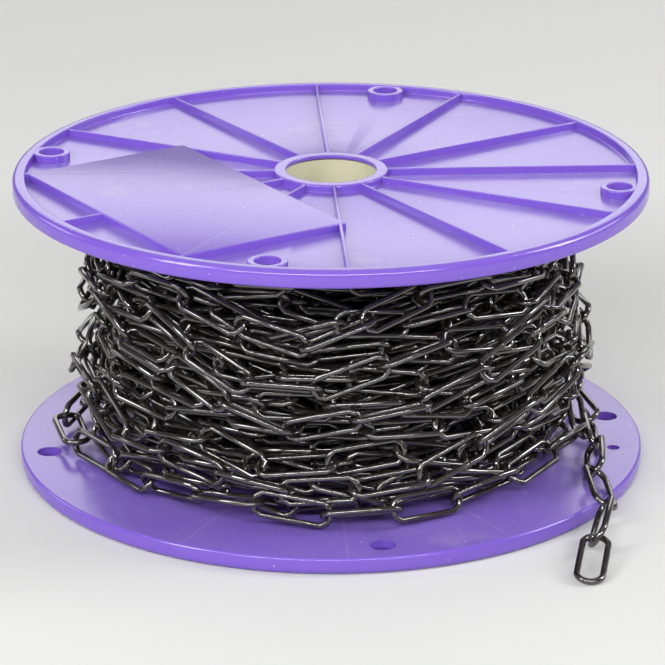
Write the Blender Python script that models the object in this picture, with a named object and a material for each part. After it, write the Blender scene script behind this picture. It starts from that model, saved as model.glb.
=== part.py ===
"""A violet moulded reel wound with black long-link steel chain.

The reel stands on its lower flange with its axis along Z. The last turn of chain
has slipped down and lies loose on that flange. From the winding it runs out in a
stray loop at the left, round the back, and over the rim at the right front to the
floor. Its links are separate pieces, and the wound turns inside it are one solid.

Lengths are written in millimetres and MM turns them into metres. Angles are in
degrees, measured about the reel's axis from +X towards +Y.
"""
import math
import random

import bmesh
import bpy
from mathutils import Matrix, Vector

MM = 0.001

# The chain: long-link, 2 mm wire, 22 mm inside length
WIRE_RADIUS = 1.0 * MM
LINK_INSIDE_LENGTH = 22.0 * MM
LINK_OUTSIDE_WIDTH = 9.8 * MM
LINK_GAP = 0.5 * MM
LINK_PITCH = LINK_INSIDE_LENGTH - LINK_GAP
BEND_STEPS = 5
WIRE_SIDES = 8

# The reel
FLANGE_RADIUS = 100.0 * MM
REEL_HEIGHT = 95.4 * MM
RIM_HEIGHT = 5.5 * MM
WEB_THICKNESS = 2.9 * MM
LIP_WIDTH = 4.0 * MM
EDGE_CUT = 0.8 * MM
BORE_RADIUS = 14.2 * MM
COLLAR_RADIUS = 18.0 * MM
HUB_PLATE = 1.3 * MM
FLANGE_SEGMENTS = 72

# What stands on the flange's outer face, measured down from the lip
COLLAR_DROP = 0.15 * MM
RIB_DROP = 0.3 * MM
PAD_DROP = 0.25 * MM
BOSS_DROP = 0.15 * MM
ROOT_DEPTH = 0.5 * MM
RIB_COUNT = 12
RIB_WIDTH = 1.2 * MM
FIRST_RIB = 3.0
BOSS_RADIUS = 6.0 * MM
BOSS_HOLE_RADIUS = 3.9 * MM
BOSS_CIRCLE = 91.2 * MM
FIRST_BOSS = -11.6
BOSS_COUNT = 4
PAD_HEADING = -147.0
PAD_NEAR = 25.5 * MM
PAD_FAR = 82.5 * MM
PAD_HALF_WIDTH = 48.0 * MM
LOWER_FLANGE_TURN = -1.8
SMALL_HOLE_RADIUS = 2.0 * MM
SMALL_HOLE_TURN = 5.7

# The cardboard tube, in a locating ring on each flange and up to both hub plates
SEAT_GAP = 0.3 * MM
TUBE_RADIUS = 16.4 * MM
TUBE_WALL = 1.8 * MM
RING_WALL = 2.0 * MM
RING_DEPTH = 6.0 * MM
TUBE_SEGMENTS = 48

# The wound chain: rows of links round the axis, which sag in front
WINDING_RADIUS = 78.0 * MM
WINDING_ROWS = 8
ROW_SAG = 6.0 * MM
LINKS_PER_TURN = 22
LINK_SINK = 1.6 * MM
WANDER = 0.8 * MM
WANDER_TWIST = math.radians(800)
FOOT_SETBACK = 7.0 * MM
FOOT_HEIGHT = 19.0 * MM

# Where its surface has points. Up a row, in shares of the row: the gap below it, two
# on the lower wire, one in the middle and two on the upper wire. Along a link, in
# shares of its pitch: both edges of its joint, then both ends of its window.
ROW_LEVELS = (0.0, 0.09, 0.25, 0.50, 0.75, 0.91)
JOINT_EDGES = (-0.10, 0.10)
WINDOW_ENDS = (0.18, 0.82)

# How deep it lies at each of a row's levels. By turns a link lies flat and shows its
# window, or stands on edge and shows one wire.
FLAT_LINK = (10.0 * MM, 0.5 * MM, 0.5 * MM, 11.0 * MM, 0.5 * MM, 0.5 * MM)
EDGE_LINK = (11.0 * MM, 10.5 * MM, 9.0 * MM, 0.0 * MM, 9.0 * MM, 10.5 * MM)
LINK_JOINT = (10.0 * MM, 6.0 * MM, 1.5 * MM, 0.5 * MM, 1.5 * MM, 6.0 * MM)

# The chain's free end, from the floor back to the winding.
# Each link: heading and slope of its length, roll of its width, share of full pitch.
TAIL_START = Vector((76.0, -105.6, 1.4)) * MM
TAIL_LINKS = (
    (79.8, 10.9, 4.0, 1.0),
    (78.3, 6.6, -58.0, 1.0),
    (95.3, 5.6, 34.0, 1.0),
    (86.0, 0.6, -54.0, 1.0),
    (91.0, 1.2, 62.0, 1.0),
    (107.0, 5.5, -20.0, 1.0),
)

# The run round the back, lying on the flange between the tail and the loop
BACK_LINKS = 10
BACK_BULGE = 1.4 * MM
BACK_DIP = 3.1 * MM
BACK_ROLLS = (50.0, -40.0)

# The stray loop, from the back round to the winding at the left
LOOP_START = Vector((-78.2, 20.5, 13.05)) * MM
LOOP_LINKS = (
    (-110.2, -5.0, 82.0, 1.0),
    (-75.6, -1.0, 2.0, 0.94),
    (-54.0, 0.0, 80.0, 1.0),
)

# The box around the whole object is centred on the origin, so the axis stands back
TAIL_REACH = 107.8 * MM
AXIS_Y = (TAIL_REACH - FLANGE_RADIUS) / 2

VIOLET = (0.285, 0.170, 0.760)
CHAIN_BLACK = (0.022, 0.019, 0.016)
CARDBOARD = (0.660, 0.600, 0.420)


def clear_scene():
    for obj in list(bpy.data.objects):
        bpy.data.objects.remove(obj, do_unlink=True)


def make_material(name, colour, roughness, metallic):
    material = bpy.data.materials.new(name)
    material.use_nodes = True
    shader = material.node_tree.nodes["Principled BSDF"]
    shader.inputs["Base Color"].default_value = (*colour, 1.0)
    shader.inputs["Roughness"].default_value = roughness
    shader.inputs["Metallic"].default_value = metallic
    return material


def make_object(name, bm, material=None, parent=None):
    bmesh.ops.recalc_face_normals(bm, faces=bm.faces)
    mesh = bpy.data.meshes.new(name)
    bm.to_mesh(mesh)
    bm.free()
    obj = bpy.data.objects.new(name, mesh)
    bpy.context.collection.objects.link(obj)
    obj.parent = parent
    if material:
        mesh.materials.append(material)
    return obj


def bridge_rings(bm, rings):
    """Skin a closed run of equal vertex rings, each ring closed as well."""
    for ring, following in zip(rings, rings[1:] + rings[:1]):
        for a in range(len(ring)):
            b = (a + 1) % len(ring)
            bm.faces.new((ring[a], ring[b], following[b], following[a]))


def turned_solid(name, outline, segments, material, parent):
    """Turn a closed (radius, height) outline about Z."""
    bm = bmesh.new()
    rings = []
    for step in range(segments):
        angle = 2 * math.pi * step / segments
        across = Vector((math.cos(angle), math.sin(angle), 0))
        rings.append([bm.verts.new(across * radius + Vector((0, 0, z))) for radius, z in outline])
    bridge_rings(bm, rings)
    return make_object(name, bm, material, parent)


def add_box(bm, low, high, turn):
    """A box between two corners, turned about Z."""
    size = high - low
    place = Matrix.Rotation(math.radians(turn), 4, "Z") @ Matrix.Translation((low + high) / 2)
    bmesh.ops.create_cube(bm, size=1.0, matrix=place @ Matrix.Diagonal((*size, 1.0)))


def add_post(bm, radius, low, high, circle, turn, segments=24):
    """A round post standing on a circle about the axis."""
    place = Matrix.Rotation(math.radians(turn), 4, "Z") @ Matrix.Translation((circle, 0, (low + high) / 2))
    bmesh.ops.create_cone(bm, cap_ends=True, segments=segments, radius1=radius, radius2=radius,
                          depth=high - low, matrix=place)


def add_boolean(target, bm, operation, name):
    """Keep a hidden helper object and use it in a Boolean modifier on the target."""
    helper = make_object(name, bm, None, target)
    helper.display_type = "WIRE"
    helper.hide_render = True
    modifier = target.modifiers.new(name, "BOOLEAN")
    modifier.operation = operation
    modifier.solver = "EXACT"
    modifier.object = helper


def flange_outline():
    """Half section of the flange. Height 0 is the lip, and the winding side is below."""
    floor = WEB_THICKNESS - RIM_HEIGHT
    inner_face = -RIM_HEIGHT
    plate_underside = -COLLAR_DROP - HUB_PLATE
    ring_inside = TUBE_RADIUS + SEAT_GAP
    ring_outside = ring_inside + RING_WALL
    return (
        (BORE_RADIUS, plate_underside),
        (BORE_RADIUS, -COLLAR_DROP),
        (COLLAR_RADIUS, -COLLAR_DROP),
        (COLLAR_RADIUS, floor),
        (FLANGE_RADIUS - LIP_WIDTH, floor),
        (FLANGE_RADIUS - LIP_WIDTH, 0),
        (FLANGE_RADIUS - EDGE_CUT, 0),
        (FLANGE_RADIUS, -EDGE_CUT),
        (FLANGE_RADIUS, inner_face + EDGE_CUT),
        (FLANGE_RADIUS - EDGE_CUT, inner_face),
        (ring_outside, inner_face),
        (ring_outside, inner_face - RING_DEPTH),
        (ring_inside, inner_face - RING_DEPTH),
        (ring_inside, plate_underside),
    )


def flange(name, material, parent, small_hole=False):
    """One flange, lying with its outer face up and its lip at height 0."""
    body = turned_solid(name, flange_outline(), FLANGE_SEGMENTS, material, parent)
    root = WEB_THICKNESS - RIM_HEIGHT - ROOT_DEPTH

    ribs = bmesh.new()
    rib_near = (TUBE_RADIUS + SEAT_GAP + COLLAR_RADIUS) / 2
    rib_far = FLANGE_RADIUS - LIP_WIDTH / 2
    for index in range(RIB_COUNT):
        turn = FIRST_RIB + index * 360 / RIB_COUNT
        low = Vector((rib_near, -RIB_WIDTH / 2, root))
        high = Vector((rib_far, RIB_WIDTH / 2, -RIB_DROP))
        add_box(ribs, low, high, turn)
    add_boolean(body, ribs, "UNION", name + "_ribs")

    pad = bmesh.new()
    low = Vector((PAD_NEAR, -PAD_HALF_WIDTH, root))
    high = Vector((PAD_FAR, PAD_HALF_WIDTH, -PAD_DROP))
    add_box(pad, low, high, PAD_HEADING)
    add_boolean(body, pad, "UNION", name + "_pad")

    bosses = bmesh.new()
    holes = bmesh.new()
    for index in range(BOSS_COUNT):
        turn = FIRST_BOSS + index * 360 / BOSS_COUNT
        add_post(bosses, BOSS_RADIUS, root, -BOSS_DROP, BOSS_CIRCLE, turn)
        add_post(holes, BOSS_HOLE_RADIUS, -2 * RIM_HEIGHT, RIM_HEIGHT, BOSS_CIRCLE, turn, 16)
    if small_hole:
        add_post(holes, SMALL_HOLE_RADIUS, -2 * RIM_HEIGHT, RIM_HEIGHT, BOSS_CIRCLE, SMALL_HOLE_TURN, 12)
    add_boolean(body, bosses, "UNION", name + "_bosses")
    add_boolean(body, holes, "DIFFERENCE", name + "_holes")
    return body


def core_tube(material, parent):
    low = COLLAR_DROP + HUB_PLATE + SEAT_GAP
    high = REEL_HEIGHT - low
    inside = TUBE_RADIUS - TUBE_WALL
    outline = ((inside, low), (TUBE_RADIUS, low), (TUBE_RADIUS, high), (inside, high))
    return turned_solid("core_tube", outline, TUBE_SEGMENTS, material, parent)


def winding_row(row, link, place, phase, sink):
    """A row's points at one place along a link, from the gap below to the upper wire."""
    angle = 2 * math.pi * (link + phase + place) / LINKS_PER_TURN
    lying = EDGE_LINK if (link + row) % 2 else FLAT_LINK
    section = LINK_JOINT if place in JOINT_EDGES else lying
    low = RIM_HEIGHT + SEAT_GAP
    rise = REEL_HEIGHT - RIM_HEIGHT - SEAT_GAP - low
    for share, depth in zip(ROW_LEVELS, section):
        above = (row + share) / WINDING_ROWS
        foot = FOOT_SETBACK * max(0, 1 - above * rise / FOOT_HEIGHT) ** 2
        wander = WANDER * math.sin(2 * angle + WANDER_TWIST * above)
        sag = ROW_SAG * math.sin(math.pi * above) * (1 - math.sin(angle)) / 2
        radius = WINDING_RADIUS + wander - foot - sink - depth
        yield Vector((math.cos(angle) * radius, math.sin(angle) * radius, low + rise * above - sag))


def chain_winding(material, parent):
    """All the wound turns as one solid, with link windows and the gaps between rows cut in."""
    low = RIM_HEIGHT + SEAT_GAP
    high = REEL_HEIGHT - RIM_HEIGHT - SEAT_GAP
    bore = TUBE_RADIUS + SEAT_GAP + RING_WALL + SEAT_GAP
    chance = random.Random(3)
    phases = [chance.uniform(-0.5, 0.5) for row in range(WINDING_ROWS)]
    sinks = [[chance.uniform(0, LINK_SINK) for link in range(LINKS_PER_TURN)] for row in range(WINDING_ROWS)]
    bm = bmesh.new()
    sections = []
    for link in range(LINKS_PER_TURN):
        for place in JOINT_EDGES + WINDOW_ENDS:
            angle = 2 * math.pi * (link + place) / LINKS_PER_TURN
            across = Vector((math.cos(angle), math.sin(angle), 0))
            section = [across * bore + Vector((0, 0, z)) for z in (high, low)]
            for row in range(WINDING_ROWS):
                section += winding_row(row, link, place, phases[row], sinks[row][link])
            section.append(across * (WINDING_RADIUS - FLAT_LINK[0]) + Vector((0, 0, high)))
            sections.append([bm.verts.new(point) for point in section])
    bridge_rings(bm, sections)
    return make_object("chain_winding", bm, material, parent)


def chain_link(name, centre, length_axis, width_axis, material, parent):
    """One welded link: round wire bent into a long ring."""
    bend = LINK_OUTSIDE_WIDTH / 2 - WIRE_RADIUS
    straight = LINK_INSIDE_LENGTH / 2 + WIRE_RADIUS - bend
    normal = length_axis.cross(width_axis)
    bm = bmesh.new()
    rings = []
    for end in (1, -1):
        for step in range(BEND_STEPS + 1):
            angle = math.pi * (step / BEND_STEPS - 0.5) + (0 if end > 0 else math.pi)
            outward = length_axis * math.cos(angle) + width_axis * math.sin(angle)
            middle = centre + length_axis * straight * end + outward * bend
            ring = []
            for side in range(WIRE_SIDES):
                turn = 2 * math.pi * (side + 0.5) / WIRE_SIDES
                offset = outward * math.cos(turn) + normal * math.sin(turn)
                ring.append(bm.verts.new(middle + offset * WIRE_RADIUS))
            rings.append(ring)
    bridge_rings(bm, rings)
    return make_object(name, bm, material, parent)


def place_link(name, start, end, roll, material, parent):
    """A link between two joints. Unrolled, its width lies level."""
    length_axis = (end - start).normalized()
    level = length_axis.cross(Vector((0, 0, 1))).normalized()
    width_axis = Matrix.Rotation(math.radians(roll), 3, length_axis) @ level
    chain_link(name, (start + end) / 2, length_axis, width_axis, material, parent)


def chain_run(prefix, start, links, material, parent):
    """Hang links end to end from a starting joint, and return the last joint."""
    joint = start
    for number, (heading, slope, roll, share) in enumerate(links, 1):
        heading, slope = math.radians(heading), math.radians(slope)
        level = Vector((math.cos(heading), math.sin(heading), 0))
        step = level * math.cos(slope) + Vector((0, 0, math.sin(slope)))
        following = joint + step * LINK_PITCH * share
        place_link(f"{prefix}_{number:02d}", joint, following, roll, material, parent)
        joint = following
    return joint


def back_run(start, end, material, parent):
    """Links round the axis from one joint to another, bulging out and dipping to the flange."""
    joints = []
    turns = [math.atan2(point.y, point.x) for point in (start, end)]
    for index in range(BACK_LINKS + 1):
        share = index / BACK_LINKS
        turn = turns[0] + (turns[1] - turns[0]) * share
        middle = start.lerp(end, share)
        radius = start.xy.length + (end.xy.length - start.xy.length) * share
        radius += BACK_BULGE * math.sin(math.pi * share)
        height = middle.z - BACK_DIP * math.sqrt(max(0, math.sin(math.pi * share)))
        joints.append(Vector((radius * math.cos(turn), radius * math.sin(turn), height)))
    for number, (joint, following) in enumerate(zip(joints, joints[1:]), 1):
        roll = BACK_ROLLS[(number - 1) % 2]
        place_link(f"back_link_{number:02d}", joint, following, roll, material, parent)


def main():
    clear_scene()
    violet = make_material("violet_plastic", VIOLET, 0.32, 0.0)
    black = make_material("black_chain", CHAIN_BLACK, 0.38, 0.6)
    cardboard = make_material("cardboard", CARDBOARD, 0.85, 0.0)

    axis = bpy.data.objects.new("reel_axis", None)
    axis.location = (0, AXIS_Y, 0)
    bpy.context.collection.objects.link(axis)

    upper = flange("flange_top", violet, axis)
    upper.location = (0, 0, REEL_HEIGHT)
    lower = flange("flange_bottom", violet, axis, small_hole=True)
    lower.rotation_euler = (math.pi, 0, math.radians(LOWER_FLANGE_TURN))

    core_tube(cardboard, axis)
    chain_winding(black, axis)
    tail_end = chain_run("tail_link", TAIL_START, TAIL_LINKS, black, axis)
    back_run(tail_end, LOOP_START, black, axis)
    chain_run("loop_link", LOOP_START, LOOP_LINKS, black, axis)


main()
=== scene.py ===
# %% [markdown]
# # A reel of black chain
#
# The object is a moulded violet reel, 200 mm across, wound with some 30 m of black
# long-link steel chain. It stands on one flange, with its last turn lying loose.
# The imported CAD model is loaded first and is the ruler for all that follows: each
# piece below takes its place from a CAD node, and then stands in for it with the
# detail that a solid made for collision leaves out.

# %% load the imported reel
import math

import bmesh
import bpy
import numpy as np
from mathutils import Matrix, Vector


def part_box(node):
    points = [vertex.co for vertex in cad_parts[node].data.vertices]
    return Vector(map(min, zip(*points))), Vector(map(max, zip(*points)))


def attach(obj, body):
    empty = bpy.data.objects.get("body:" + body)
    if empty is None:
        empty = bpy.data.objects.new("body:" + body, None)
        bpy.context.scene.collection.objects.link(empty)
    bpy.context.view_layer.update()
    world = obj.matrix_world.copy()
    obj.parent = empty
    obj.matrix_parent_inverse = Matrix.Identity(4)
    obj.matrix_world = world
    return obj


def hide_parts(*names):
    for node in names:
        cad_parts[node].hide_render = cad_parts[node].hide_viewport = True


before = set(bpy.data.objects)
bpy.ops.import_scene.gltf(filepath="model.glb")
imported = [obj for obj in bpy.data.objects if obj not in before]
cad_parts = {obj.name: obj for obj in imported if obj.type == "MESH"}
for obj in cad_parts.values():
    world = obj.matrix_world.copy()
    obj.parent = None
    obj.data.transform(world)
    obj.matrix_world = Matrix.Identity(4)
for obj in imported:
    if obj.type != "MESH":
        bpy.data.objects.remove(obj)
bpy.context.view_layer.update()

# %% [markdown]
# The reel turns about a vertical axis that stands a little behind the origin. The
# two flanges and the tube tell where that axis is and how high each level lies, so
# those numbers are measured on the nodes and not typed in a second time.

# %% measure the axis and the levels
MM = 0.001
top_low, top_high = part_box("flange_top")
bottom_low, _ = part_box("flange_bottom")
tube_low, tube_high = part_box("core_tube")
AXIS = Vector(((tube_low.x + tube_high.x) / 2, (tube_low.y + tube_high.y) / 2, 0))
FLANGE_RADIUS = (top_high.x - top_low.x) / 2
REEL_HEIGHT = top_high.z
TUBE_RADIUS = (tube_high.x - tube_low.x) / 2
print(f"axis at y = {AXIS.y / MM:.2f} mm, flange radius {FLANGE_RADIUS / MM:.2f} mm,",
      f"height {REEL_HEIGHT / MM:.2f} mm, tube radius {TUBE_RADIUS / MM:.2f} mm")

# %% [markdown]
# The photograph was taken from in front and about 20 degrees above, with a long
# lens: both flanges are nearly the same ellipse. The lens and the place were fitted
# to the two ellipses, so the camera stands at the same angle as the photographer.

# %% the camera
LOOK_AT = Vector((0.00048, 0.0039, 0.04032))
CAMERA_PLACE = Vector((0.00048, -1.01348, 0.41215))
SENSOR_WIDTH = 36.0
FOCAL_LENGTH = 183.2


def aim(obj, place, target):
    """Put a camera or lamp in its place, looking at the target."""
    obj.location = place
    obj.rotation_mode = "QUATERNION"
    obj.rotation_quaternion = (target - obj.location).to_track_quat("-Z", "Y")
    bpy.context.collection.objects.link(obj)


camera_data = bpy.data.cameras.new("photo_camera")
camera_data.sensor_width = SENSOR_WIDTH
camera_data.lens = FOCAL_LENGTH
camera = bpy.data.objects.new("photo_camera", camera_data)
aim(camera, CAMERA_PLACE, LOOK_AT)
bpy.context.scene.camera = camera
bpy.context.scene.view_settings.view_transform = "Standard"
print(f"camera {(LOOK_AT - camera.location).length:.3f} m away")

# %% [markdown]
# Shader and geometry trees are both made of sums. Typed out node by node they are
# long and hard to read, so one small class wraps a socket and lets Python's own
# operators add the Math nodes. A single method makes every other node, apart from
# the input and output of a group.

# %% sums on sockets
class Flow:
    """A value on its way through a node tree."""

    def __init__(self, bench, socket):
        self.bench = bench
        self.socket = socket

    def sum_node(self, operation, first, second):
        return self.bench.node("ShaderNodeMath", {"operation": operation}, {0: first, 1: second})

    def __add__(self, other):
        return self.sum_node("ADD", self, other)

    def __radd__(self, other):
        return self.sum_node("ADD", other, self)

    def __sub__(self, other):
        return self.sum_node("SUBTRACT", self, other)

    def __mul__(self, other):
        return self.sum_node("MULTIPLY", self, other)

    def __truediv__(self, other):
        return self.sum_node("DIVIDE", self, other)

    def apply(self, operation, second=0.0):
        """A Math node that has no Python operator, such as SINE or ABSOLUTE."""
        return self.sum_node(operation, self, second)


# %% the bench where trees are made
MIX_SHARE = 0
MIX_FIRST_COLOUR = 6
MIX_SECOND_COLOUR = 7
MIX_COLOUR_OUT = 2


class Bench:
    """A node tree, with the one method that adds a node to it."""

    def __init__(self, tree):
        self.tree = tree

    def node(self, kind, settings=None, values=None, take=0):
        made = self.tree.nodes.new(kind)
        for name, setting in (settings or {}).items():
            setattr(made, name, setting)
        for key, value in (values or {}).items():
            if isinstance(value, Flow):
                self.tree.links.new(value.socket, made.inputs[key])
            else:
                made.inputs[key].default_value = value
        return Flow(self, made.outputs[take])

    def blend(self, share, first, second):
        """From the first colour to the second, each a plain colour or one on its way."""
        first, second = ((*side, 1.0) if isinstance(side, tuple) else side for side in (first, second))
        values = {MIX_SHARE: share, MIX_FIRST_COLOUR: first, MIX_SECOND_COLOUR: second}
        return self.node("ShaderNodeMix", {"data_type": "RGBA"}, values, MIX_COLOUR_OUT)

    def ramp(self, value, start, end):
        """A grey ramp between two stops, each a pair of place and shade."""
        grey = self.node("ShaderNodeValToRGB", {}, {0: value})
        for element, (place, shade) in zip(grey.socket.node.color_ramp.elements, (start, end)):
            element.position = place
            element.color = (shade, shade, shade, 1.0)
        return grey


# %% finishes for surfaces
class Finish(Bench):
    """A procedural material whose patterns are measured from the reel's axis."""

    def __init__(self, name, colour, **surface):
        self.material = bpy.data.materials.new(name)
        self.material.use_nodes = True
        super().__init__(self.material.node_tree)
        self.shader = self.tree.nodes["Principled BSDF"]
        self.material.diffuse_color = (*colour, 1.0)
        self.shader.inputs["Base Color"].default_value = (*colour, 1.0)
        for socket, value in surface.items():
            self.shader.inputs[socket].default_value = value
        here = self.node("ShaderNodeTexCoord", take="Object")
        self.place = self.node("ShaderNodeMapping", {}, {"Vector": here, "Location": tuple(-AXIS)})

    def noise(self, scale, detail=2.0, roughness=0.5):
        values = {"Vector": self.place, "Scale": scale, "Detail": detail, "Roughness": roughness}
        return self.node("ShaderNodeTexNoise", {}, values)

    def axis_distances(self):
        """How far a point lies east of the axis, north of it and above the floor."""
        parts = self.node("ShaderNodeSeparateXYZ", {}, {"Vector": self.place})
        return [Flow(self, output) for output in parts.socket.node.outputs]

    def feed(self, socket, value):
        self.tree.links.new(value.socket, self.shader.inputs[socket])

    def bump(self, height, distance, strength):
        values = {"Strength": strength, "Distance": distance, "Height": height}
        self.feed("Normal", self.node("ShaderNodeBump", {}, values))


# %% [markdown]
# The reel is moulded in a violet plastic. The real one is glossy at its rim and ribs
# and a little cloudy over the thin web, where the melt cooled in flow marks. Faces
# that point up or down are painted a paler violet, a painted sheen, and only they
# carry the flow marks. Over the label pad a shallow sink runs where each rib lies
# beneath it, since thick plastic shrinks more: a bump gives its shape, and a pale
# painted highlight runs along it. All of it is drawn by noise, by the way a face
# points and by the angle about the axis, because a picture would fix it to one view.

# %% violet plastic
VIOLET = (0.165, 0.082, 0.490)
# Painted sheen: a paler violet for faces that point up or down
PAINTED_SHEEN_VIOLET = (0.175, 0.108, 0.460)
LILAC = (0.260, 0.200, 0.450)
MAUVE_BLOTCH = (0.40, 0.31, 0.48)
# Painted highlight along the sinks over the ribs
PAINTED_SINK_HIGHLIGHT = (0.48, 0.43, 0.62)
PALE_SPECK = (0.70, 0.66, 0.76)
PLASTIC_IOR = 1.6
FIRST_RIB = 3.0
RIB_COUNT = 12


def violet_plastic():
    finish = Finish("violet_plastic", VIOLET, IOR=PLASTIC_IOR)
    east, north, _ = finish.axis_distances()
    clouds = finish.ramp(finish.noise(16.0, 4.0, 0.6), (0.35, 0.0), (0.70, 1.0))
    blotches = finish.ramp(finish.noise(31.0, 3.0, 0.7), (0.60, 0.0), (0.74, 1.0))
    specks = finish.ramp(finish.noise(1000.0, 1.0), (0.775, 0.0), (0.79, 1.0))
    turn = north.apply("ARCTAN2", east) / (2 * math.pi) * RIB_COUNT - FIRST_RIB * RIB_COUNT / 360
    off_rib = turn.apply("PINGPONG", 0.5)
    radius = (east * east + north * north).apply("SQRT")
    sink_and_highlight = finish.ramp(off_rib * radius / (FLANGE_RADIUS * 0.5), (0.0, 1.0), (0.022, 0.0))
    facing = finish.node("ShaderNodeNewGeometry", take="Normal")
    upward = finish.node("ShaderNodeSeparateXYZ", {}, {"Vector": facing}, "Z")
    # Faces that point up or down get a painted sheen; the flow marks and sink lines lie only on them
    level_face_and_sheen = finish.ramp(upward.apply("ABSOLUTE"), (0.90, 0.0), (0.99, 1.0))
    colour = finish.blend(level_face_and_sheen * 0.85, VIOLET, PAINTED_SHEEN_VIOLET)
    colour = finish.blend(clouds * level_face_and_sheen * 0.30, colour, LILAC)
    colour = finish.blend(blotches * level_face_and_sheen * 0.28, colour, MAUVE_BLOTCH)
    # Painted highlight: a pale line along each sink; the bump further down gives the sink its real shape
    colour = finish.blend(sink_and_highlight * level_face_and_sheen * 0.12, colour, PAINTED_SINK_HIGHLIGHT)
    colour = finish.blend(specks * 0.40, colour, PALE_SPECK)
    finish.feed("Base Color", colour)
    finish.feed("Roughness", 0.16 + clouds * level_face_and_sheen * 0.08 + specks * 0.3 + level_face_and_sheen * 0.04)
    grain = finish.noise(1500.0, 2.0) * 0.12 + finish.noise(90.0, 2.0) * 0.5 - sink_and_highlight * 0.25
    finish.bump(grain, 0.35 * MM, 0.35)
    return finish.material


violet = violet_plastic()
print("finish:", violet.name, len(violet.node_tree.nodes), "nodes")

# %% [markdown]
# The chain is welded steel wire with a thin black coat. It is nearly black, yet
# every wire carries a bright thin line where it faces a lamp, so the coat is smooth.
# Where the wires rub the coat is worn to grey-brown, and a little oil varies the
# gloss. The patterns are a few millimetres long, about as long as a bend.

# %% black chain finish
CHAIN_BLACK = (0.014, 0.010, 0.008)
WORN_STEEL = (0.110, 0.105, 0.080)
RUST_BROWN = (0.085, 0.045, 0.022)
COAT_IOR = 2.1


def black_chain():
    finish = Finish("black_chain", CHAIN_BLACK, IOR=COAT_IOR)
    wear = finish.ramp(finish.noise(240.0, 4.0, 0.65), (0.55, 0.0), (0.72, 1.0))
    rust = finish.ramp(finish.noise(75.0, 3.0, 0.6), (0.60, 0.0), (0.75, 1.0))
    oil = finish.noise(130.0, 2.0)
    colour = finish.blend(wear * 0.40, CHAIN_BLACK, WORN_STEEL)
    colour = finish.blend(rust * 0.25, colour, RUST_BROWN)
    finish.feed("Base Color", colour)
    finish.feed("Metallic", wear * 0.35)
    finish.feed("Roughness", 0.04 + oil * 0.10 + wear * 0.10)
    finish.bump(finish.noise(900.0, 3.0), 0.12 * MM, 0.35)
    return finish.material


black = black_chain()
print("finish:", black.name, len(black.node_tree.nodes), "nodes")

# %% [markdown]
# The core is a cream cardboard tube, wound from a strip of board on a slant. Its
# seam climbs round the wall as a helix, which on the unrolled wall is a straight
# line: the angle plus a share of the height, taken modulo one turn.

# %% cream cardboard
CREAM = (0.500, 0.480, 0.330)
PALE_FIBRE = (0.56, 0.55, 0.43)
TAN_MOTTLE = (0.44, 0.42, 0.28)
SEAM_BROWN = (0.29, 0.26, 0.16)
STRIP_PITCH = 62.0 * MM


def cream_cardboard():
    finish = Finish("cream_cardboard", CREAM)
    east, north, height = finish.axis_distances()
    turn = north.apply("ARCTAN2", east) / (2 * math.pi) + height / STRIP_PITCH
    seam = finish.ramp(turn.apply("PINGPONG", 0.5), (0.0, 1.0), (0.012, 0.0))
    fibre = finish.noise(700.0, 4.0, 0.7)
    mottle = finish.noise(60.0, 3.0)
    colour = finish.blend(fibre * 0.5, CREAM, PALE_FIBRE)
    colour = finish.blend(mottle * 0.35, colour, TAN_MOTTLE)
    colour = finish.blend(seam * 0.6, colour, SEAM_BROWN)
    finish.feed("Base Color", colour)
    finish.feed("Roughness", 0.78 + fibre * 0.15)
    finish.bump(fibre * 0.5 - seam, 0.3 * MM, 0.6)
    return finish.material


cardboard = cream_cardboard()
print("finish:", cardboard.name, len(cardboard.node_tree.nodes), "nodes")

# %% [markdown]
# The floor is plain and pale. The light is a studio's, with one lamp for each thing
# that it shows. A long thin strip in front draws the fine bright line along each
# wire, and a broad panel overhead lights the whole. A lamp on each side makes the
# streaks on the rim, two weaker ones behind light its far ends, and a panel at the
# back is the pale reflection that lies over the web.

# %% the floor
FLOOR_GREY = (0.62, 0.62, 0.61)
FLOOR_REACH = 8
FLOOR_CORNERS = [(x * FLOOR_REACH, y * FLOOR_REACH, 0) for x, y in ((-1, -1), (1, -1), (1, 1), (-1, 1))]
floor_finish = Finish("pale_floor", FLOOR_GREY, Roughness=0.9)
floor_mesh = bpy.data.meshes.new("pale_floor")
floor_mesh.from_pydata(FLOOR_CORNERS, [], [(0, 1, 2, 3)])
floor_mesh.materials.append(floor_finish.material)
floor = bpy.data.objects.new("pale_floor", floor_mesh)
bpy.context.collection.objects.link(floor)
print("floor:", 2 * FLOOR_REACH, "m across")

# %% the light of the room
WHITE = (1.0, 1.0, 1.0, 1.0)
ROOM_LIGHT = 0.18
world = bpy.data.worlds.new("pale_studio")
world.use_nodes = True
background = world.node_tree.nodes["Background"]
background.inputs["Color"].default_value = WHITE
background.inputs["Strength"].default_value = ROOM_LIGHT
bpy.context.scene.world = world
print("room light:", ROOM_LIGHT)

# %% lamps
LAMP_TARGET = Vector((0, 0, 0.05))


def soft_lamp(name, place, width, height, watts):
    """A rectangular lamp, in metres, that lights the reel and isn't seen itself."""
    data = bpy.data.lights.new(name, "AREA")
    data.shape = "RECTANGLE"
    data.size = width
    data.size_y = height
    data.energy = watts
    lamp = bpy.data.objects.new(name, data)
    lamp.visible_camera = False
    aim(lamp, place, LAMP_TARGET)


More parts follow.
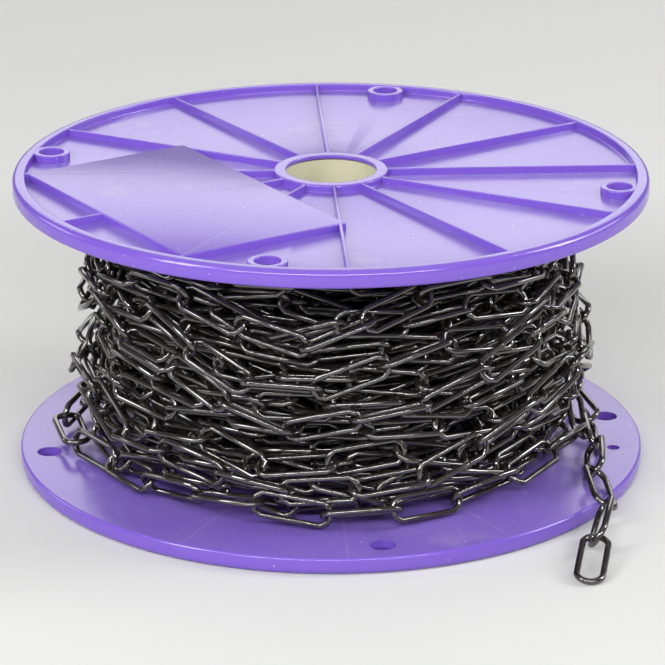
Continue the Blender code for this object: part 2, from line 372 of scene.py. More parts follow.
soft_lamp("front_strip", (0.0, -1.28, 0.84), 2.00, 0.05, 23.0)
soft_lamp("overhead_panel", (0.0, 0.0, 3.50), 5.00, 5.00, 27.0)
soft_lamp("left_lamp", (-0.85, -0.60, 0.68), 0.30, 0.60, 6.5)
soft_lamp("right_lamp", (1.05, 0.05, 0.68), 0.30, 0.60, 6.5)
soft_lamp("left_wall", (-1.50, 0.60, 0.60), 0.60, 0.50, 3.0)
soft_lamp("right_wall", (1.50, 0.60, 0.60), 0.60, 0.50, 3.0)
soft_lamp("back_panel", (0.0, 1.60, 0.75), 1.80, 0.80, 9.0)

# %% [markdown]
# Three helpers serve the pieces. The first makes an object from a bmesh and marks
# only its real corners as sharp, so round forms shade smoothly. The second turns an
# object's modifiers into a plain mesh. The third hands a finished piece over: what
# it rides on and what it replaces.

# %% helpers for pieces
SHARP = math.radians(32)


def shade(mesh):
    mesh.polygons.foreach_set("use_smooth", [True] * len(mesh.polygons))
    mesh.set_sharp_from_angle(angle=SHARP)
    mesh.update()


def make_piece(name, bm, material):
    bmesh.ops.recalc_face_normals(bm, faces=bm.faces)
    mesh = bpy.data.meshes.new(name)
    bm.to_mesh(mesh)
    bm.free()
    mesh.materials.append(material)
    shade(mesh)
    piece = bpy.data.objects.new(name, mesh)
    bpy.context.collection.objects.link(piece)
    return piece


def bake(piece):
    """Swap the mesh for what the modifiers make of it."""
    depsgraph = bpy.context.evaluated_depsgraph_get()
    result = bpy.data.meshes.new_from_object(piece.evaluated_get(depsgraph))
    piece.modifiers.clear()
    piece.data = result


def hand_over(piece, slot, *nodes):
    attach(piece, "root")
    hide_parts(*nodes)
    piece.data.calc_loop_triangles()
    corners = [Vector(vertex.co) for vertex in piece.data.vertices]
    low = [round(min(corner[i] for corner in corners) / MM, 2) for i in range(3)]
    high = [round(max(corner[i] for corner in corners) / MM, 2) for i in range(3)]
    print(f"{piece.name}: {len(piece.data.loop_triangles)} triangles, from {low} to {high} mm")


# %% [markdown]
# A moulding has no knife edges: each corner of the flange's half section carries a
# small radius, and it is these radii that catch the long highlights on the rim. The
# half section is written as corners with a radius each, and every corner is replaced
# by an arc that touches both its sides. Turned about the axis it gives the flange.
# Only a few arc points are needed, because the shading is smooth.

# %% round the corners of an outline
ARC_STEPS = 4
SIDE_SHARE = 0.48


def round_corner(before, corner, after, radius):
    """Points of the arc with that radius between two sides, of which it takes under half."""
    one = (before - corner).normalized()
    two = (after - corner).normalized()
    half = one.angle(two) / 2
    shorter_side = min((before - corner).length, (after - corner).length)
    reach = min(radius / math.tan(half), SIDE_SHARE * shorter_side)
    radius = reach * math.tan(half)
    centre = corner + (one + two).normalized() * (radius / math.sin(half))
    start = corner + one * reach - centre
    end = corner + two * reach - centre
    sweep = start.angle_signed(end)
    return [centre + Matrix.Rotation(-sweep * i / ARC_STEPS, 2) @ start for i in range(ARC_STEPS + 1)]


def rounded(outline):
    points = [Vector(corner[:2]) for corner in outline]
    result = []
    for index, corner in enumerate(outline):
        before, here, after = points[index - 1], points[index], points[(index + 1) % len(points)]
        result += round_corner(before, here, after, corner[2]) if corner[2] else [here]
    return result


# %% turn an outline about the axis
def turned(bm, outline, segments):
    """A closed (radius, height) outline, turned about Z and closed on itself."""
    rings = []
    for step in range(segments):
        angle = 2 * math.pi * step / segments
        c, s = math.cos(angle), math.sin(angle)
        rings.append([bm.verts.new((point.x * c, point.x * s, point.y)) for point in outline])
    for ring, following in zip(rings, rings[1:] + rings[:1]):
        for a in range(len(ring)):
            b = (a + 1) % len(ring)
            bm.faces.new((ring[a], ring[b], following[b], following[a]))


# %% the flange's half section
RIM_HEIGHT = 5.5 * MM
WEB_THICKNESS = 2.9 * MM
LIP_WIDTH = 4.0 * MM
BORE_RADIUS = 14.2 * MM
COLLAR_RADIUS = 18.0 * MM
COLLAR_TOP = -0.15 * MM
HUB_PLATE = 1.3 * MM
PLATE_UNDERSIDE = COLLAR_TOP - HUB_PLATE
SEAT_GAP = 0.3 * MM
RING_WALL = 2.0 * MM
RING_INSIDE = TUBE_RADIUS + SEAT_GAP
RING_OUTSIDE = RING_INSIDE + RING_WALL
RING_DEPTH = 6.0 * MM
WEB_TOP = WEB_THICKNESS - RIM_HEIGHT
FLANGE_OUTLINE = rounded((
    (BORE_RADIUS, PLATE_UNDERSIDE, 0.3 * MM),
    (BORE_RADIUS, COLLAR_TOP, 0.4 * MM),
    (COLLAR_RADIUS, COLLAR_TOP, 0.6 * MM),
    (COLLAR_RADIUS, WEB_TOP, 0.5 * MM),
    (FLANGE_RADIUS - LIP_WIDTH, WEB_TOP, 0.6 * MM),
    (FLANGE_RADIUS - LIP_WIDTH, 0, 0.5 * MM),
    (FLANGE_RADIUS, 0, 1.9 * MM),
    (FLANGE_RADIUS, -RIM_HEIGHT, 1.0 * MM),
    (RING_OUTSIDE, -RIM_HEIGHT, 0.5 * MM),
    (RING_OUTSIDE, -RIM_HEIGHT - RING_DEPTH, 0.4 * MM),
    (RING_INSIDE, -RIM_HEIGHT - RING_DEPTH, 0.4 * MM),
    (RING_INSIDE, PLATE_UNDERSIDE, 0.3 * MM),
))
print("flange outline:", len(FLANGE_OUTLINE), "points")

# %% [markdown]
# Ribs, bosses and holes repeat at even angles. One small Geometry Nodes tree sets a
# template round the axis: a ring of points, turned so that each point's X looks
# outward, with the template placed on each. It ends in Realize Instances, since the
# export would drop instances, and in Set Material, since realized meshes need it.

# %% a node tree with its inputs
class GeometryBench(Bench):
    """A Geometry Nodes tree with named inputs, which ends in one geometry."""

    def __init__(self, name, **inputs):
        super().__init__(bpy.data.node_groups.new(name, "GeometryNodeTree"))
        interface = self.tree.interface
        interface.new_socket(name="Geometry", in_out="OUTPUT", socket_type="NodeSocketGeometry")
        for label, kind in inputs.items():
            label = label.replace("_", " ")
            interface.new_socket(name=label, in_out="INPUT", socket_type="NodeSocket" + kind)
        given = self.tree.nodes.new("NodeGroupInput")
        self.given = [Flow(self, given.outputs[i]) for i in range(len(inputs))]

    def hang(self, points, template, turn):
        """The template on every point, as real geometry."""
        values = {"Points": points, "Instance": template, "Rotation": turn}
        hung = self.node("GeometryNodeInstanceOnPoints", {}, values)
        return self.node("GeometryNodeRealizeInstances", {}, {0: hung})

    def finish_with(self, geometry, material):
        """Give the geometry its material and pass it out."""
        dressed = self.node("GeometryNodeSetMaterial", {}, {"Geometry": geometry, "Material": material})
        out = self.tree.nodes.new("NodeGroupOutput")
        self.tree.links.new(dressed.socket, out.inputs[0])
        return self.tree


# %% copies round the axis, as a node tree
def round_axis_tree():
    bench = GeometryBench("copies_round_the_axis", Template="Object", Copies="Int", First_angle="Float",
                          Circle="Float", Material="Material")
    template, copies, first, circle, material = bench.given
    angle = first + bench.node("GeometryNodeInputIndex") * (2 * math.pi) / copies
    spot_values = {"X": circle * angle.apply("COSINE"), "Y": circle * angle.apply("SINE")}
    spot = bench.node("ShaderNodeCombineXYZ", {}, spot_values)
    points = bench.node("GeometryNodePoints", {}, {"Count": copies, "Position": spot})
    turn = bench.node("FunctionNodeAxisAngleToRotation", {}, {"Axis": (0, 0, 1), "Angle": angle})
    shape = bench.node("GeometryNodeObjectInfo", {}, {"Object": template}, "Geometry")
    return bench.finish_with(bench.hang(points, shape, turn), material)


# %% use a tree on an object
def grow(piece, tree, **given):
    """Run a node tree on an object, with its inputs by name, and keep the plain mesh."""
    modifier = piece.modifiers.new(tree.name, "NODES")
    modifier.node_group = tree
    identifiers = {item.name: item.identifier for item in tree.interface.items_tree if item.in_out == "INPUT"}
    for name, value in given.items():
        modifier[identifiers[name.replace("_", " ")]] = value
    bake(piece)


round_axis = round_axis_tree()
print("tree:", round_axis.name, len(round_axis.nodes), "nodes")


# %% copies of a template
def copies_of(template, count, first_degrees, circle):
    """The template, that many times round the axis, as one object. The template goes."""
    blank = bpy.data.objects.new(template.name + "_set", bpy.data.meshes.new(template.name + "_set"))
    bpy.context.collection.objects.link(blank)
    grow(blank, round_axis, Template=template, Copies=count, First_angle=math.radians(first_degrees),
         Circle=circle, Material=violet)
    bpy.data.objects.remove(template, do_unlink=True)
    print(f"{blank.name}: {count} copies, {len(blank.data.polygons)} faces")
    return blank


# %% [markdown]
# A rib is a thin wall with a little draft, wider at its foot than at its top, so
# that it leaves the mould. The label pad is a raised block with the same draft, and
# a boss is a short tube. They all reach half a millimetre down into the web, as the
# plastic is one moulding there. The edges of their upper faces are softened.

# %% ribs and the pad
ROOT = WEB_TOP - 0.5 * MM
DRAFT = 0.15 * MM
RIB_NEAR = 17.5 * MM
RIB_FAR = 98.0 * MM
RIB_HALF_WIDTH = 0.5 * MM
RIB_TOP = -0.3 * MM
RIB_BEVEL = 0.25 * MM
PAD_NEAR = 25.5 * MM
PAD_FAR = 82.5 * MM
PAD_HALF_WIDTH = 47.8 * MM
PAD_TOP = -0.25 * MM
PAD_BEVEL = 0.45 * MM
PAD_HEADING = -147.0


def drafted_block(name, near, far, half_width, top, bevel):
    bm = bmesh.new()
    rings = []
    for spread, height in ((DRAFT, ROOT), (0, top)):
        x_low, x_high, y_high = near - spread, far + spread, half_width + spread
        corners = ((x_low, -y_high), (x_high, -y_high), (x_high, y_high), (x_low, y_high))
        rings.append([bm.verts.new((x, y, height)) for x, y in corners])
    low, high = rings
    bm.faces.new(low[::-1])
    bm.faces.new(high)
    for a in range(4):
        b = (a + 1) % 4
        bm.faces.new((low[a], low[b], high[b], high[a]))
    reach_top = [edge for edge in bm.edges if any(vertex in high for vertex in edge.verts)]
    bmesh.ops.bevel(bm, geom=reach_top, offset=bevel, segments=3, profile=0.5, affect="EDGES")
    return make_piece(name, bm, violet)


# %% bosses
BOSS_COUNT = 4
BOSS_CIRCLE = 91.2 * MM
BOSS_RADIUS = 6.0 * MM
BOSS_HOLE = 3.9 * MM
BOSS_TOP = -0.15 * MM
BOSS_EDGE = 0.4 * MM
FIRST_BOSS = -11.6
ROUND_SIDES = 40


def boss_tube():
    bm = bmesh.new()
    outline = rounded((
        (BOSS_HOLE, ROOT, 0),
        (BOSS_HOLE, BOSS_TOP, BOSS_EDGE),
        (BOSS_RADIUS, BOSS_TOP, BOSS_EDGE),
        (BOSS_RADIUS, ROOT, 0),
    ))
    turned(bm, outline, ROUND_SIDES)
    return make_piece("boss", bm, violet)


# %% cutters for the holes through the web
CUTTER_LENGTH = 20.0 * MM
SMALL_HOLE = 2.0 * MM
SMALL_HOLE_TURN = 5.7


def hole_cutter(name, radius):
    bm = bmesh.new()
    bmesh.ops.create_cone(bm, cap_ends=True, segments=ROUND_SIDES, radius1=radius, radius2=radius,
                          depth=CUTTER_LENGTH)
    return make_piece(name, bm, violet)


def cut(piece, cutter):
    modifier = piece.modifiers.new(cutter.name, "BOOLEAN")
    modifier.operation = "DIFFERENCE"
    modifier.solver = "EXACT"
    modifier.object = cutter
    bake(piece)
    bpy.data.objects.remove(cutter, do_unlink=True)


# %% one flange
FLANGE_SIDES = 160


def moulded_flange(name, place, small_hole):
    """A whole flange, made lying with its lip at height 0, then put in its place."""
    bm = bmesh.new()
    turned(bm, FLANGE_OUTLINE, FLANGE_SIDES)
    disc = make_piece(name, bm, violet)
    cut(disc, copies_of(hole_cutter("hole", BOSS_HOLE), BOSS_COUNT, FIRST_BOSS, BOSS_CIRCLE))
    if small_hole:
        cut(disc, copies_of(hole_cutter("small_hole", SMALL_HOLE), 1, SMALL_HOLE_TURN, BOSS_CIRCLE))
    rib = drafted_block("rib", RIB_NEAR, RIB_FAR, RIB_HALF_WIDTH, RIB_TOP, RIB_BEVEL)
    ribs = copies_of(rib, RIB_COUNT, FIRST_RIB, 0.0)
    bosses = copies_of(boss_tube(), BOSS_COUNT, FIRST_BOSS, BOSS_CIRCLE)
    pad = drafted_block("pad", PAD_NEAR, PAD_FAR, PAD_HALF_WIDTH, PAD_TOP, PAD_BEVEL)
    pad.data.transform(Matrix.Rotation(math.radians(PAD_HEADING), 4, "Z"))
    joined = bmesh.new()
    for part in (disc, ribs, bosses, pad):
        joined.from_mesh(part.data)
    for part in (ribs, bosses, pad):
        bpy.data.objects.remove(part, do_unlink=True)
    joined.to_mesh(disc.data)
    joined.free()
    disc.data.transform(place)
    shade(disc.data)
    return disc


# %% both flanges
LOWER_FLANGE_TURN = -1.8
upside_down = Matrix.Rotation(math.pi, 4, "X")
turned_a_little = Matrix.Rotation(math.radians(LOWER_FLANGE_TURN), 4, "Z")
upper_place = Matrix.Translation(AXIS + Vector((0, 0, REEL_HEIGHT)))
lower_place = Matrix.Translation(AXIS) @ turned_a_little @ upside_down
upper_flange = moulded_flange("upper_flange", upper_place, small_hole=False)
lower_flange = moulded_flange("lower_flange", lower_place, small_hole=True)
hand_over(upper_flange, "violet_plastic", "flange_top")
hand_over(lower_flange, "violet_plastic", "flange_bottom")

# %% [markdown]
# The CAD tube has flat sides, which would show in the bore. This one is turned
# finer, with the slightly rounded ends that a saw and some handling leave.

# %% the cardboard tube
TUBE_WALL = 1.8 * MM
TUBE_SIDES = 96
INNER_EDGE = 0.4 * MM
OUTER_EDGE = 0.5 * MM


def board_tube():
    inside = TUBE_RADIUS - TUBE_WALL
    outline = rounded((
        (inside, tube_low.z, INNER_EDGE),
        (inside, tube_high.z, INNER_EDGE),
        (TUBE_RADIUS, tube_high.z, OUTER_EDGE),
        (TUBE_RADIUS, tube_low.z, OUTER_EDGE),
    ))
    bm = bmesh.new()
    turned(bm, outline, TUBE_SIDES)
    piece = make_piece("cardboard_tube", bm, cardboard)
    piece.data.transform(Matrix.Translation(AXIS))
    return piece


tube = board_tube()
hand_over(tube, "cardboard", "core_tube")

# %% [markdown]
# A link is a ring of round wire with two straight sides. In Geometry Nodes it is a
# circle whose two halves are pulled apart along X, with a small circle swept along
# it. The tree then sets one link on each point of a mesh, turned by two directions
# that the point carries: along, the link's length, and across, its width. A circle
# of 4k + 2 points has the same number of points in each half, so both bends are alike.

# %% links along a chain, as a node tree
def link_tree():
    bench = GeometryBench("links_along_a_chain", Geometry="Geometry", Wire_radius="Float",
                          Half_straight="Float", Bend_radius="Float", Bend_points="Int", Wire_sides="Int",
                          Material="Material")
    spots, wire, half, bend, steps, sides, material = bench.given
    ring = bench.node("GeometryNodeCurvePrimitiveCircle", {}, {"Resolution": steps, "Radius": bend})
    position = bench.node("GeometryNodeInputPosition")
    side = bench.node("ShaderNodeSeparateXYZ", {}, {"Vector": position}).apply("SIGN")
    pull = bench.node("ShaderNodeCombineXYZ", {}, {"X": side * half})
    long_ring = bench.node("GeometryNodeSetPosition", {}, {"Geometry": ring, "Offset": pull})
    round_wire = bench.node("GeometryNodeCurvePrimitiveCircle", {}, {"Resolution": sides, "Radius": wire})
    link = bench.node("GeometryNodeCurveToMesh", {}, {"Curve": long_ring, "Profile Curve": round_wire})
    carried = {"data_type": "FLOAT_VECTOR"}
    along = bench.node("GeometryNodeInputNamedAttribute", carried, {"Name": "along"})
    across = bench.node("GeometryNodeInputNamedAttribute", carried, {"Name": "across"})
    axes = {"primary_axis": "X", "secondary_axis": "Y"}
    turn = bench.node("FunctionNodeAxesToRotation", axes, {0: along, 1: across})
    smooth = bench.node("GeometryNodeSetShadeSmooth", {}, {0: bench.hang(spots, link, turn)})
    return bench.finish_with(smooth, material)


links_along = link_tree()
print("tree:", links_along.name, len(links_along.nodes), "nodes")


# %% hang links on their places
WIRE = 1.0
BEND = 3.9
HALF_STRAIGHT = 8.1


def hang_links(name, centres, along, across, bend_points, wire_sides, half_straight):
    """A link for each centre, in metres, with its length and width directions.

    Half the straight side is given in millimetres, as WIRE and BEND are.
    """
    mesh = bpy.data.meshes.new(name)
    mesh.from_pydata([tuple(centre) for centre in centres], [], [])
    for label, directions in (("along", along), ("across", across)):
        carried = mesh.attributes.new(label, "FLOAT_VECTOR", "POINT")
        carried.data.foreach_set("vector", np.asarray(directions, dtype=np.float32).ravel())
    piece = bpy.data.objects.new(name, mesh)
    bpy.context.collection.objects.link(piece)
    grow(piece, links_along, Wire_radius=WIRE * MM, Half_straight=half_straight * MM, Bend_radius=BEND * MM,
         Bend_points=bend_points, Wire_sides=wire_sides, Material=black)
    for label in ("along", "across"):
        if label in piece.data.attributes:
            piece.data.attributes.remove(piece.data.attributes[label])
    return piece


# %% [markdown]
# The 19 loose links lie just where the CAD has them. A link's own points tell where
# it is and how it is turned: they spread most along its length, less across its
# width and least through the wire, so the three directions are the principal axes
# of the point cloud. Each is then made again with a rounder wire and rounder bends.

# %% read the loose links' places from the CAD
loose_nodes = sorted(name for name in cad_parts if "_link_" in name)
loose_centres, loose_along, loose_across, loose_lengths = [], [], [], []
for name in loose_nodes:
    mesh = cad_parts[name].data
    cloud = np.empty(3 * len(mesh.vertices))
    mesh.vertices.foreach_get("co", cloud)
    cloud = np.unique(cloud.reshape(-1, 3).round(7), axis=0)
    centre = cloud.mean(0)
    _, directions = np.linalg.eigh(np.cov((cloud - centre).T))
    places = (cloud - centre) @ directions[:, 2]
    loose_centres.append(centre)
    loose_along.append(directions[:, 2])
    loose_across.append(directions[:, 1])
    loose_lengths.append(places.max() - places.min())
print(len(loose_nodes), "loose links,",
      f"{min(loose_lengths) / MM:.2f} to {max(loose_lengths) / MM:.2f} mm long")

# %% the loose links
CAD_HALF_LENGTH = min(loose_lengths) / MM / 2
LOOSE_BEND_POINTS = 26
LOOSE_WIRE_SIDES = 14
loose_chain = hang_links("loose_chain", loose_centres, loose_along, loose_across, LOOSE_BEND_POINTS,
                         LOOSE_WIRE_SIDES, CAD_HALF_LENGTH - WIRE - BEND)
shade(loose_chain.data)
hand_over(loose_chain, "black_chain", *loose_nodes)

# %% [markdown]
# ## Winding the chain
#
# The wound turns are what the eye sees first, and a pattern of copies would give
# them away: each link lies where the ones beneath let it. So the chain is wound here
# as on the machine, one link at a time from the tube outward. A map of the drum
# holds, for every angle and height, the radius at which a wire would come to rest.
# A new link tries several twists and small shifts, is lifted until its wire clears
# the map, and takes the place nearest the axis, as a chain under tension does. Two
# links later its own wire is pressed into the map. This is far cheaper than a
# physics engine, and gives the same result each time. Its lengths are millimetres.

# %% the link's wire as points
TAUT_PITCH = 22.0
PITCH = 21.3
BEND_SAMPLES = 7
SIDE_SAMPLES = 12
LINK_OUTLINE = []
for end in (1, -1):
    for angle in np.radians(np.linspace(-90, 90, BEND_SAMPLES)):
        LINK_OUTLINE.append((end * (HALF_STRAIGHT + BEND * math.cos(angle)), end * BEND * math.sin(angle)))
    for x in np.linspace(HALF_STRAIGHT, -HALF_STRAIGHT, SIDE_SAMPLES)[1:-1]:
        LINK_OUTLINE.append((end * x, end * BEND))
LINK_OUTLINE = np.array(LINK_OUTLINE)
SHARE = np.clip(LINK_OUTLINE[:, 0] / PITCH + 0.5, 0, 1)
NEAR_END = SHARE < 0.5
FAR_END = SHARE >= 0.5


def unit(vectors):
    return vectors / np.linalg.norm(vectors, axis=-1, keepdims=True)


def link_axes(start, end, roll):
    """Centre, length and width directions of links between two joints."""
    along = unit(end - start)
    centre = (start + end) / 2
    outward = centre * (1, 1, 0)
    outward = unit(outward - along * (outward * along).sum(-1, keepdims=True))
    level = np.cross(outward, along)
    return centre, along, level * np.cos(roll)[..., None] + outward * np.sin(roll)[..., None]


def wire_points(start, end, roll):
    centre, along, across = link_axes(start, end, roll)
    return (centre[..., None, :] + LINK_OUTLINE[:, :1] * along[..., None, :]
            + LINK_OUTLINE[:, 1:] * across[..., None, :])


def around(radius, angle, height):
    radius, angle, height = np.broadcast_arrays(radius, angle, height)
    return np.stack([radius * np.cos(angle), radius * np.sin(angle), height], -1)


# %% the map of the drum
LOW = (bottom_low.z + RIM_HEIGHT) / MM
HIGH = (REEL_HEIGHT - RIM_HEIGHT) / MM
SECTORS = 480
LEVELS = int(HIGH - LOW) + 1


class Drum:
    """The radius at which a wire comes to rest, over angle and height, in millimetres."""

    def __init__(self, radius):
        self.rest = np.full((SECTORS, LEVELS), radius + WIRE)

    def cells(self, points):
        sector = np.round(np.arctan2(points[..., 1], points[..., 0]) * SECTORS / (2 * math.pi)).astype(int)
        level = np.clip(np.round(points[..., 2] - LOW).astype(int), 0, LEVELS - 1)
        return sector % SECTORS, level

    def lift(self, points):
        return self.rest[self.cells(points)] - np.hypot(points[..., 0], points[..., 1])

    def press(self, points, crowding):
        """Raise the map where a wire lies. Crowding below 1 lets wires bite into each other."""
        sector, level = self.cells(points)
        radius = np.hypot(points[:, 0], points[:, 1])
        cell = 2 * math.pi * radius.mean() / SECTORS
        reach = 2 * WIRE * crowding
        for i in range(-int(reach / cell), int(reach / cell) + 1):
            for j in range(-int(reach), int(reach) + 1):
                over = reach ** 2 - (i * cell) ** 2 - j ** 2
                if over > 0:
                    spot = ((sector + i) % SECTORS, np.clip(level + j, 0, LEVELS - 1))
                    np.maximum.at(self.rest, spot, radius + math.sqrt(over))


# %% [markdown]
# The guide lays rows up and down between the flanges, and dwells a little at each
# flange. The outer rows sag in front. The last five turns have gone slack and hang
# low in front. They follow six rings, each given by its height in front and at the
# sides. Round the back a ring is level, at the height of its sides. A turn slides
# from one ring to the next on its way round. The end must meet the joint where the
# loose turn begins, which is the nearer end of the CAD's last loose link.

# %% where the wound turns end
last_link = loose_nodes.index("loop_link_03")
last_centre = (np.array(loose_centres[last_link]) - np.array(AXIS)) / MM
last_heading = np.array(loose_along[last_link])
LOCK = min((last_centre + side * last_heading * PITCH / 2 for side in (-1, 1)), key=lambda joint: joint[1])
LOCK_ANGLE = math.atan2(LOCK[1], LOCK[0])
LOCK_RADIUS = math.hypot(LOCK[0], LOCK[1])
print("the wound end meets the loose turn at", LOCK.round(2), "mm from the axis")

# %% the guide's height for each turn
FIRST_ROW = 10.8
LAST_ROW = 84.5
INNER_TURNS = 84
PASSES = 9
TURNS_PER_PASS = INNER_TURNS / PASSES
DWELL = 0.03
SAG = 6.0
SLACK_RINGS = ((84, 84), (60, 75), (42, 68), (30, 61), (17, 28), (9.3, 13))
RING_RISE = 0.6
RING_POWER = 0.4
TOTAL_TURNS = INNER_TURNS + len(SLACK_RINGS) - 1
# A hair before the last ring, so that there is always a ring above and one below
LAST_SLACK = len(SLACK_RINGS) - 1.0001


def ring_height(ring, angle):
    """It climbs from the front, where the sine is -1, to the sides, steeply at first."""
    front, side = ring
    return front + (side - front) * min((1 + math.sin(angle)) / RING_RISE, 1) ** RING_POWER


def guide_height(turns):
    """Where the chain is led after so many turns, in millimetres above the floor."""
    angle = LOCK_ANGLE - 2 * math.pi * turns
    if turns < INNER_TURNS:
        share = (turns / TURNS_PER_PASS) % 2
        share = min(max(min(share, 2 - share) * (1 + 2 * DWELL) - DWELL, 0), 1)
        droop = SAG * (turns / INNER_TURNS) ** 2 * math.sin(math.pi * share) * (1 - math.sin(angle)) / 2
        return FIRST_ROW + (LAST_ROW - FIRST_ROW) * share - droop
    slack = min(turns - INNER_TURNS, LAST_SLACK)
    number = int(slack)
    upper, lower = (ring_height(SLACK_RINGS[number + i], angle) for i in (0, 1))
    return upper + (lower - upper) * (slack - number)


row_heights = [round(guide_height(turns), 1) for turns in range(0, TOTAL_TURNS, 12)]
print("the guide's height at every twelfth turn:", row_heights)


# %% lengths along the chain
LEAST_COSINE = -0.5
MOST_COSINE = 0.9999
WAY_STEPS = 60


def sector_between(radius_a, radius_b, rise, pitch):
    """The angle between two joints that are one pitch apart."""
    cosine = (radius_a ** 2 + radius_b ** 2 + rise ** 2 - pitch ** 2) / (2 * radius_a * radius_b)
    return np.arccos(np.clip(cosine, LEAST_COSINE, MOST_COSINE))


def way_left(turns, radius):
    """Millimetres of chain that the guide still has to lay."""
    steps = np.linspace(turns, TOTAL_TURNS, WAY_STEPS)
    heights = np.array([guide_height(step) for step in steps])
    return np.hypot(np.diff(heights), radius * 2 * math.pi * np.diff(steps)).sum()


# %% [markdown]
# Each step of the winding makes 25 trials at once, one for each pair of a twist and
# a shift, as arrays. A link's near joint is the last one's far joint, which it may
# still lift, but it can't be pulled closer. Every other link stands a quarter turn
# from its neighbours, and how far the chain as a whole is twisted drifts at random.
# Over the last turn the pitch is fitted, so that a whole number of links is left.

# %% what the winding goes by
SEED = 3
TWISTS = (-0.5, -0.25, 0.0, 0.25, 0.5)
SHIFTS = (-5.0, -2.5, 0.0, 2.5, 5.0)
TWIST, SHIFT = (grid.ravel() for grid in np.meshgrid(TWISTS, SHIFTS))
FIRST_TWIST = 0.6
TWIST_DRIFT = 0.15
FIRST_RISE = 4.0
MANY_LINKS = 99
SHORTEST_PITCH = 20.6
LONGEST_PITCH = 21.8
HALF_WIDTH = 4.9
FLANGE_CLEARANCE = 1.2
STEEPEST_CLIMB = 8
STEEPEST_LEAN = 3.0
ATTEMPTS = 5
NEAR_WEIGHT = 1.5
TWIST_WEIGHT = 0.5
SHIFT_WEIGHT = 0.1
TIGHT = 0.62
LOOSE = 0.66


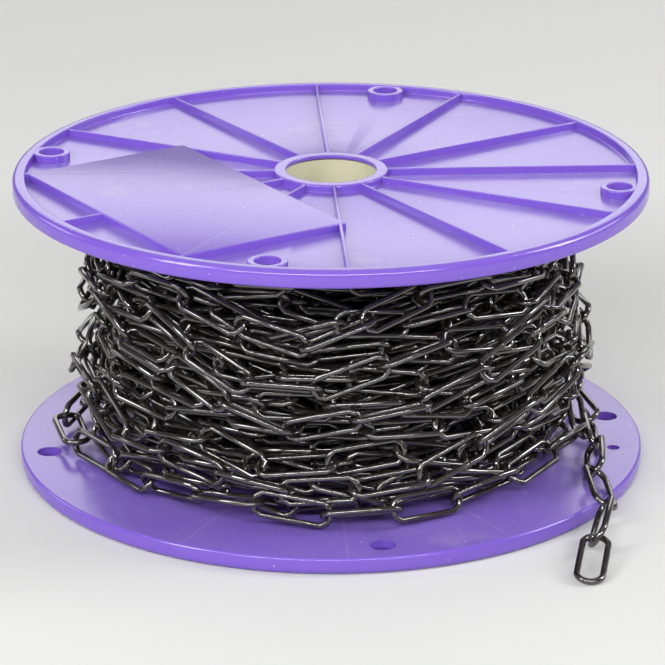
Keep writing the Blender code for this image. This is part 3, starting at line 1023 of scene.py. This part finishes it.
# %% wind the chain
class Winder:
    """Lays the chain link by link, and keeps its joints by angle, height and radius."""

    def __init__(self):
        self.chance = np.random.default_rng(SEED)
        self.drum = Drum(RING_OUTSIDE / MM)
        self.angles = [LOCK_ANGLE]
        self.heights = [guide_height(0)]
        self.radii = [RING_OUTSIDE / MM + FIRST_RISE]
        self.rolls = []
        self.tendency = FIRST_TWIST
        self.turns = 0.0

    def next_pitch(self):
        """The next link's pitch, and how many links are left."""
        if self.turns <= TOTAL_TURNS - 1:
            return PITCH, MANY_LINKS
        left = way_left(self.turns, self.radii[-1])
        links_left = max(1, round(left / PITCH))
        return min(max(left / links_left, SHORTEST_PITCH), LONGEST_PITCH), links_left

    def led_to(self, roll, pitch):
        """The height of each trial's far joint, kept clear of both flanges."""
        height = guide_height(self.turns + pitch / self.radii[-1] / (2 * math.pi)) + SHIFT
        height = np.clip(height, self.heights[-1] - STEEPEST_CLIMB, self.heights[-1] + STEEPEST_CLIMB)
        margin = HALF_WIDTH * np.maximum(np.abs(np.cos(roll)), np.abs(np.sin(roll))) + FLANGE_CLEARANCE
        return np.clip(height, LOW + margin, HIGH - margin)

    def settle(self, roll, height, pitch, least_radius):
        """Lift each trial until its wire clears the drum. Gives radii and angles of both joints."""
        near = np.full(len(roll), self.radii[-1])
        far = near.copy()
        start = np.full(len(roll), self.angles[-1])
        for attempt in range(ATTEMPTS):
            if self.rolls:
                rise = self.heights[-1] - self.heights[-2]
                start = self.angles[-2] - sector_between(self.radii[-2], near, rise, PITCH)
            end = start - sector_between(near, far, height - self.heights[-1], pitch)
            points = wire_points(around(near, start, self.heights[-1]), around(far, end, height), roll)
            lift = self.drum.lift(points)
            if attempt == 0:
                far = far + (lift[:, FAR_END] / SHARE[FAR_END]).max(1)
                tilt = lift[:, NEAR_END] - SHARE[NEAR_END] * (far - near)[:, None]
                near = near + np.maximum(0, (tilt / (1 - SHARE[NEAR_END])).max(1))
            else:
                near = np.maximum(self.radii[-1], near + lift[:, NEAR_END].max(1))
                far = far + lift[:, FAR_END].max(1)
            far = np.maximum(far, least_radius)
            far = np.maximum(far, near - STEEPEST_LEAN)
            near = np.maximum(near, far - STEEPEST_LEAN)
        return near, far, start, end

    def add_joint(self, angle, height, radius):
        self.angles.append(angle)
        self.heights.append(height)
        self.radii.append(radius)

    def press_settled_link(self):
        """Press the last link but two into the map, since the two after it still move."""
        joints = around(*(np.array(values[-4:-2]) for values in (self.radii, self.angles, self.heights)))
        crowding = TIGHT + (LOOSE - TIGHT) * (self.turns / TOTAL_TURNS) ** 3
        self.drum.press(wire_points(joints[0], joints[1], np.array(self.rolls[-3])), crowding)

    def lay_link(self):
        """Lay the best trial. True once the chain has met the loose turn."""
        quarter = math.pi / 2 * (len(self.rolls) % 2)
        self.tendency += self.chance.normal(0, TWIST_DRIFT)
        roll = self.tendency + quarter + TWIST
        pitch, links_left = self.next_pitch()
        height = self.led_to(roll, pitch)
        near, far, start, end = self.settle(roll, height, pitch, LOCK_RADIUS - STEEPEST_LEAN * links_left)
        cost = NEAR_WEIGHT * near + far + TWIST_WEIGHT * np.abs(TWIST) + SHIFT_WEIGHT * np.abs(SHIFT)
        best = int(np.argmin(cost))
        self.radii[-1] = near[best]
        self.angles[-1] = start[best]
        self.tendency = roll[best] - quarter
        self.rolls.append(roll[best])
        if links_left == 1:
            self.add_joint(LOCK_ANGLE - 2 * math.pi * TOTAL_TURNS, LOCK[2], LOCK_RADIUS)
            return True
        self.add_joint(end[best], height[best], far[best])
        self.turns = (LOCK_ANGLE - self.angles[-1]) / (2 * math.pi)
        if len(self.rolls) > 2:
            self.press_settled_link()
        return False

    def wind(self):
        """All the joints, in millimetres from the axis, and the links' rolls."""
        while self.turns < TOTAL_TURNS:
            if self.lay_link():
                break
        joints = around(np.array(self.radii), np.array(self.angles), np.array(self.heights))
        return joints, np.array(self.rolls)


winder = Winder()
joints, rolls = winder.wind()
lengths = np.linalg.norm(np.diff(joints, axis=0), axis=1)
print(f"{len(rolls)} wound links, {len(rolls) * TAUT_PITCH * MM:.1f} m long when taut,",
      f"pitch {lengths.min():.2f} to {lengths.max():.2f} mm")
print("drum surface, mean radius by height:", winder.drum.rest.mean(0)[::8].round(1))
last = joints[-8:]
print("last joints, radius:", np.hypot(last[:, 0], last[:, 1]).round(1), "height:", last[:, 2].round(1))

# %% the wound chain
WOUND_BEND_POINTS = 10
WOUND_WIRE_SIDES = 6
centres, along, across = link_axes(joints[:-1], joints[1:], rolls)
wound_chain = hang_links("wound_chain", centres * MM + np.array(AXIS), along, across, WOUND_BEND_POINTS,
                         WOUND_WIRE_SIDES, HALF_STRAIGHT)
hand_over(wound_chain, "black_chain", "chain_winding")
